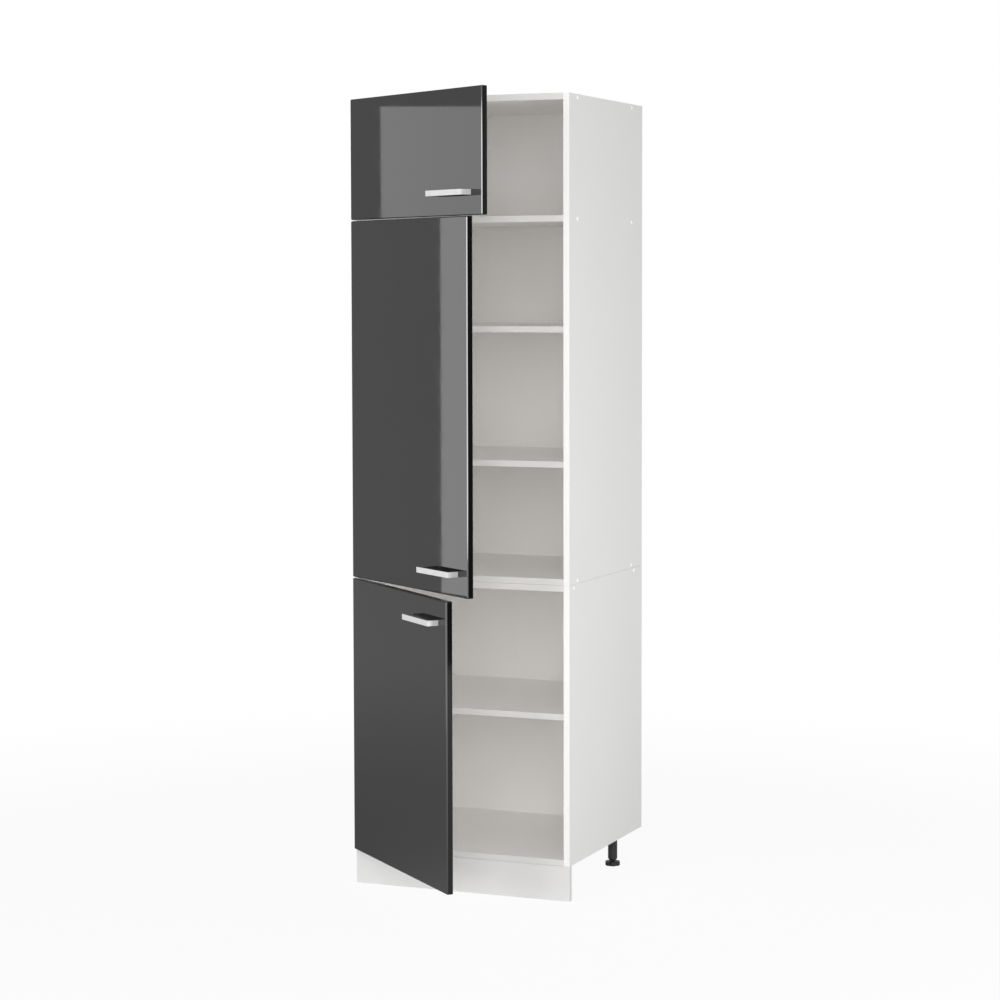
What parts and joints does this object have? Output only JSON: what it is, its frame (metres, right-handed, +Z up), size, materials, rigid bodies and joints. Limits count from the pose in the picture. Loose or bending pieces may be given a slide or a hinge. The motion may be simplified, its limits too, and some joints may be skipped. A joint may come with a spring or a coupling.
{
  "type": "tall kitchen cabinet",
  "caption": "Tall white cabinet of stacked carcasses with gloss anthracite doors ajar on concealed hinges, bar handles, shelves on pins, a plinth and levelling feet.",
  "frame": {"origin": "centre of the plinth board's underside, on the floor", "axes": "+Z up; -Y is the front, where the doors are; +X is the right when facing the front; the doors hang on the left"},
  "size_m": [0.6, 0.9685, 2.05],
  "materials": {
    "white_board": "white melamine foil on chipboard, satin",
    "back_board": "white faced fibreboard, matt",
    "gloss_front": "high gloss anthracite foil with rounded front edges",
    "chrome": "polished to fine satin",
    "steel": "nickel plated",
    "black_plastic": "moulded, matt"
  },
  "bodies": {
    "carcass": {"lower_side_left": "white_board", "lower_side_right": "white_board", "lower_floor_board": "white_board", "lower_top_board": "white_board", "lower_back_panel": "back_board", "lower_shelf": "white_board", "lower_shelf_pin_left_front": "steel", "lower_shelf_pin_left_rear": "steel", "lower_shelf_pin_right_front": "steel", "lower_shelf_pin_right_rear": "steel", "upper_side_left": "white_board", "upper_side_right": "white_board", "upper_floor_board": "white_board", "upper_top_board": "white_board", "upper_fixed_shelf": "white_board", "upper_back_panel": "back_board", "upper_shelf_low": "white_board", "upper_shelf_low_pin_left_front": "steel", "upper_shelf_low_pin_left_rear": "steel", "upper_shelf_low_pin_right_front": "steel", "upper_shelf_low_pin_right_rear": "steel", "upper_shelf_high": "white_board", "upper_shelf_high_pin_left_front": "steel", "upper_shelf_high_pin_left_rear": "steel", "upper_shelf_high_pin_right_front": "steel", "upper_shelf_high_pin_right_rear": "steel", "lower_door_hinge_arm_lower": "steel", "lower_door_hinge_arm_upper": "steel", "middle_door_hinge_arm_lower": "steel", "middle_door_hinge_arm_upper": "steel", "top_door_hinge_arm_lower": "steel", "top_door_hinge_arm_upper": "steel", "leg_housing_front_left": "black_plastic", "leg_housing_front_right": "black_plastic", "leg_housing_rear_left": "black_plastic", "leg_housing_rear_right": "black_plastic", "plinth_board": "white_board"},
    "lower_front": {"lower_door": "gloss_front", "lower_door_handle": "chrome", "lower_door_hinge_cup_lower": "steel", "lower_door_hinge_cup_upper": "steel"},
    "middle_front": {"middle_door": "gloss_front", "middle_door_handle": "chrome", "middle_door_hinge_cup_lower": "steel", "middle_door_hinge_cup_upper": "steel"},
    "top_front": {"top_door": "gloss_front", "top_door_handle": "chrome", "top_door_hinge_cup_lower": "steel", "top_door_hinge_cup_upper": "steel"},
    "lower_straps": {"lower_door_hinge_strap_lower": "steel", "lower_door_hinge_strap_upper": "steel"},
    "middle_straps": {"middle_door_hinge_strap_lower": "steel", "middle_door_hinge_strap_upper": "steel"},
    "top_straps": {"top_door_hinge_strap_lower": "steel", "top_door_hinge_strap_upper": "steel"},
    "foot_front_left": {"leg_foot_front_left": "black_plastic"},
    "foot_front_right": {"leg_foot_front_right": "black_plastic"},
    "foot_rear_left": {"leg_foot_rear_left": "black_plastic"},
    "foot_rear_right": {"leg_foot_rear_right": "black_plastic"}
  },
  "joints": [
    {"name": "lower_door_swing", "type": "hinge", "parent": "carcass", "child": "lower_front", "pos_m": [-0.2985, -0.026, 0.451], "axis": [0, 0, -1], "range_deg": [-42.3, 57.7]},
    {"name": "middle_door_swing", "type": "hinge", "parent": "carcass", "child": "middle_front", "pos_m": [-0.2985, -0.026, 1.2735], "axis": [0, 0, -1], "range_deg": [-36.7, 63.3]},
    {"name": "top_door_swing", "type": "hinge", "parent": "carcass", "child": "top_front", "pos_m": [-0.2985, -0.026, 1.8935], "axis": [0, 0, -1], "range_deg": [-32.5, 67.5]},
    {"name": "lower_straps_turn", "type": "hinge", "parent": "lower_front", "child": "lower_straps", "pos_m": [-0.26998, -0.03032, 0.451], "axis": [0, 0, 1], "range_deg": [-33.85, 46.17]},
    {"name": "middle_straps_turn", "type": "hinge", "parent": "middle_front", "child": "middle_straps", "pos_m": [-0.2697, -0.02752, 1.2735], "axis": [0, 0, 1], "range_deg": [-29.37, 50.65]},
    {"name": "top_straps_turn", "type": "hinge", "parent": "top_front", "child": "top_straps", "pos_m": [-0.26966, -0.0254, 1.8935], "axis": [0, 0, 1], "range_deg": [-26.01, 54.01]},
    {"name": "foot_front_left_height", "type": "slide", "parent": "carcass", "child": "foot_front_left", "axis": [0, 0, -1], "range_m": [-0.004, 0.015]},
    {"name": "foot_front_right_height", "type": "slide", "parent": "carcass", "child": "foot_front_right", "axis": [0, 0, -1], "range_m": [-0.004, 0.015]},
    {"name": "foot_rear_left_height", "type": "slide", "parent": "carcass", "child": "foot_rear_left", "axis": [0, 0, -1], "range_m": [-0.004, 0.015]},
    {"name": "foot_rear_right_height", "type": "slide", "parent": "carcass", "child": "foot_rear_right", "axis": [0, 0, -1], "range_m": [-0.004, 0.015]}
  ],
  "couplings": [
    {"joint": "lower_straps_turn", "follows": "lower_door_swing", "ratio": 0.8},
    {"joint": "middle_straps_turn", "follows": "middle_door_swing", "ratio": 0.8},
    {"joint": "top_straps_turn", "follows": "top_door_swing", "ratio": 0.8}
  ]
}
